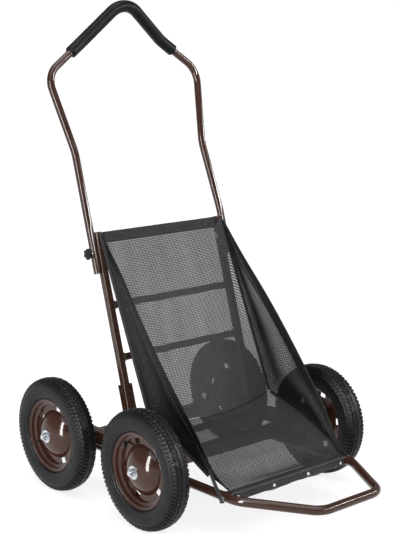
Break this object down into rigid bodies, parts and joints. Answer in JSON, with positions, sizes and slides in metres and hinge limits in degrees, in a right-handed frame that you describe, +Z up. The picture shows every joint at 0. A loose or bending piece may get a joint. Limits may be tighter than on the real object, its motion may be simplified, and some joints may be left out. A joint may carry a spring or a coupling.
{
  "type": "firewood hand cart",
  "caption": "Hand cart for split firewood: a mesh sling on a reclined tube frame with pneumatic wheels, a toe loop and a tall bent fold-down handle with a foam grip.",
  "frame": {"origin": "on the ground, under the centre of the cart's bounding box", "axes": "+Z up; -Y towards the toe loop, the open front of the sling; +Y towards the handle; +X to the cart's right"},
  "size_m": [0.7734, 1.01, 1.3898],
  "materials": {
    "frame_paint": "gloss brown paint with warm reflections",
    "rim_paint": "gloss brown paint on pressed steel",
    "tyre_rubber": "satin black rubber",
    "tube_rubber": "matte black rubber",
    "grip_foam": "black closed-cell foam with a soft sheen",
    "black_plastic": "black moulded plastic",
    "zinc_steel": "bright zinc plating",
    "bearing_steel": "ground steel",
    "mesh_fabric": "open black mesh, see-through",
    "webbing": "black woven tape"
  },
  "bodies": {
    "cart": {"base_loop": "frame_paint", "side_beam_left": "frame_paint", "side_beam_right": "frame_paint", "cross_tube_front": "frame_paint", "cross_tube_rear": "frame_paint", "front_crossbar": "frame_paint", "socket_left": "frame_paint", "socket_right": "frame_paint", "upright_left": "frame_paint", "upright_right": "frame_paint", "top_crossbar": "frame_paint", "upper_rung": "frame_paint", "lower_rung": "frame_paint", "bottom_crossbar": "frame_paint", "end_caps": "black_plastic", "socket_liners": "black_plastic", "upright_caps": "black_plastic", "axle_bolts": "zinc_steel", "axle_spacers": "zinc_steel", "axle_washers": "zinc_steel", "axle_nuts": "zinc_steel", "handle_bolts": "zinc_steel", "handle_washers": "zinc_steel", "clamp_nut": "zinc_steel", "strap_bolts": "zinc_steel", "sling_rivets": "zinc_steel", "sling_back": "mesh_fabric", "sling_floor": "mesh_fabric", "sling_side_left": "mesh_fabric", "sling_side_right": "mesh_fabric", "strap_left": "webbing", "strap_right": "webbing"},
    "handle": {"handle_tube": "frame_paint", "foam_grip": "grip_foam"},
    "knob_left": {"knob_left": "black_plastic"},
    "wheel_front_left": {"rim_front_left": "rim_paint", "tyre_front_left": "tyre_rubber", "inner_tube_front_left": "tube_rubber", "hub_front_left": "rim_paint", "bearings_front_left": "bearing_steel", "valve_front_left": "tube_rubber"},
    "wheel_front_right": {"rim_front_right": "rim_paint", "tyre_front_right": "tyre_rubber", "inner_tube_front_right": "tube_rubber", "hub_front_right": "rim_paint", "bearings_front_right": "bearing_steel", "valve_front_right": "tube_rubber"},
    "wheel_rear_left": {"rim_rear_left": "rim_paint", "tyre_rear_left": "tyre_rubber", "inner_tube_rear_left": "tube_rubber", "hub_rear_left": "rim_paint", "bearings_rear_left": "bearing_steel", "valve_rear_left": "tube_rubber"},
    "wheel_rear_right": {"rim_rear_right": "rim_paint", "tyre_rear_right": "tyre_rubber", "inner_tube_rear_right": "tube_rubber", "hub_rear_right": "rim_paint", "bearings_rear_right": "bearing_steel", "valve_rear_right": "tube_rubber"}
  },
  "joints": [
    {"name": "handle_fold", "type": "hinge", "parent": "cart", "child": "handle", "pos_m": [0, 0.26326, 0.692], "axis": [1, 0, 0], "range_deg": [-135, 0]},
    {"name": "knob_left_turn", "type": "hinge", "parent": "cart", "child": "knob_left", "pos_m": [-0.268, 0.26326, 0.692], "axis": [1, 0, 0], "continuous": true},
    {"name": "wheel_front_left_roll", "type": "hinge", "parent": "cart", "child": "wheel_front_left", "pos_m": [-0.335, -0.058, 0.165], "axis": [1, 0, 0], "continuous": true},
    {"name": "wheel_front_right_roll", "type": "hinge", "parent": "cart", "child": "wheel_front_right", "pos_m": [0.335, -0.058, 0.165], "axis": [1, 0, 0], "continuous": true},
    {"name": "wheel_rear_left_roll", "type": "hinge", "parent": "cart", "child": "wheel_rear_left", "pos_m": [-0.335, 0.34, 0.165], "axis": [1, 0, 0], "continuous": true},
    {"name": "wheel_rear_right_roll", "type": "hinge", "parent": "cart", "child": "wheel_rear_right", "pos_m": [0.335, 0.34, 0.165], "axis": [1, 0, 0], "continuous": true}
  ]
}
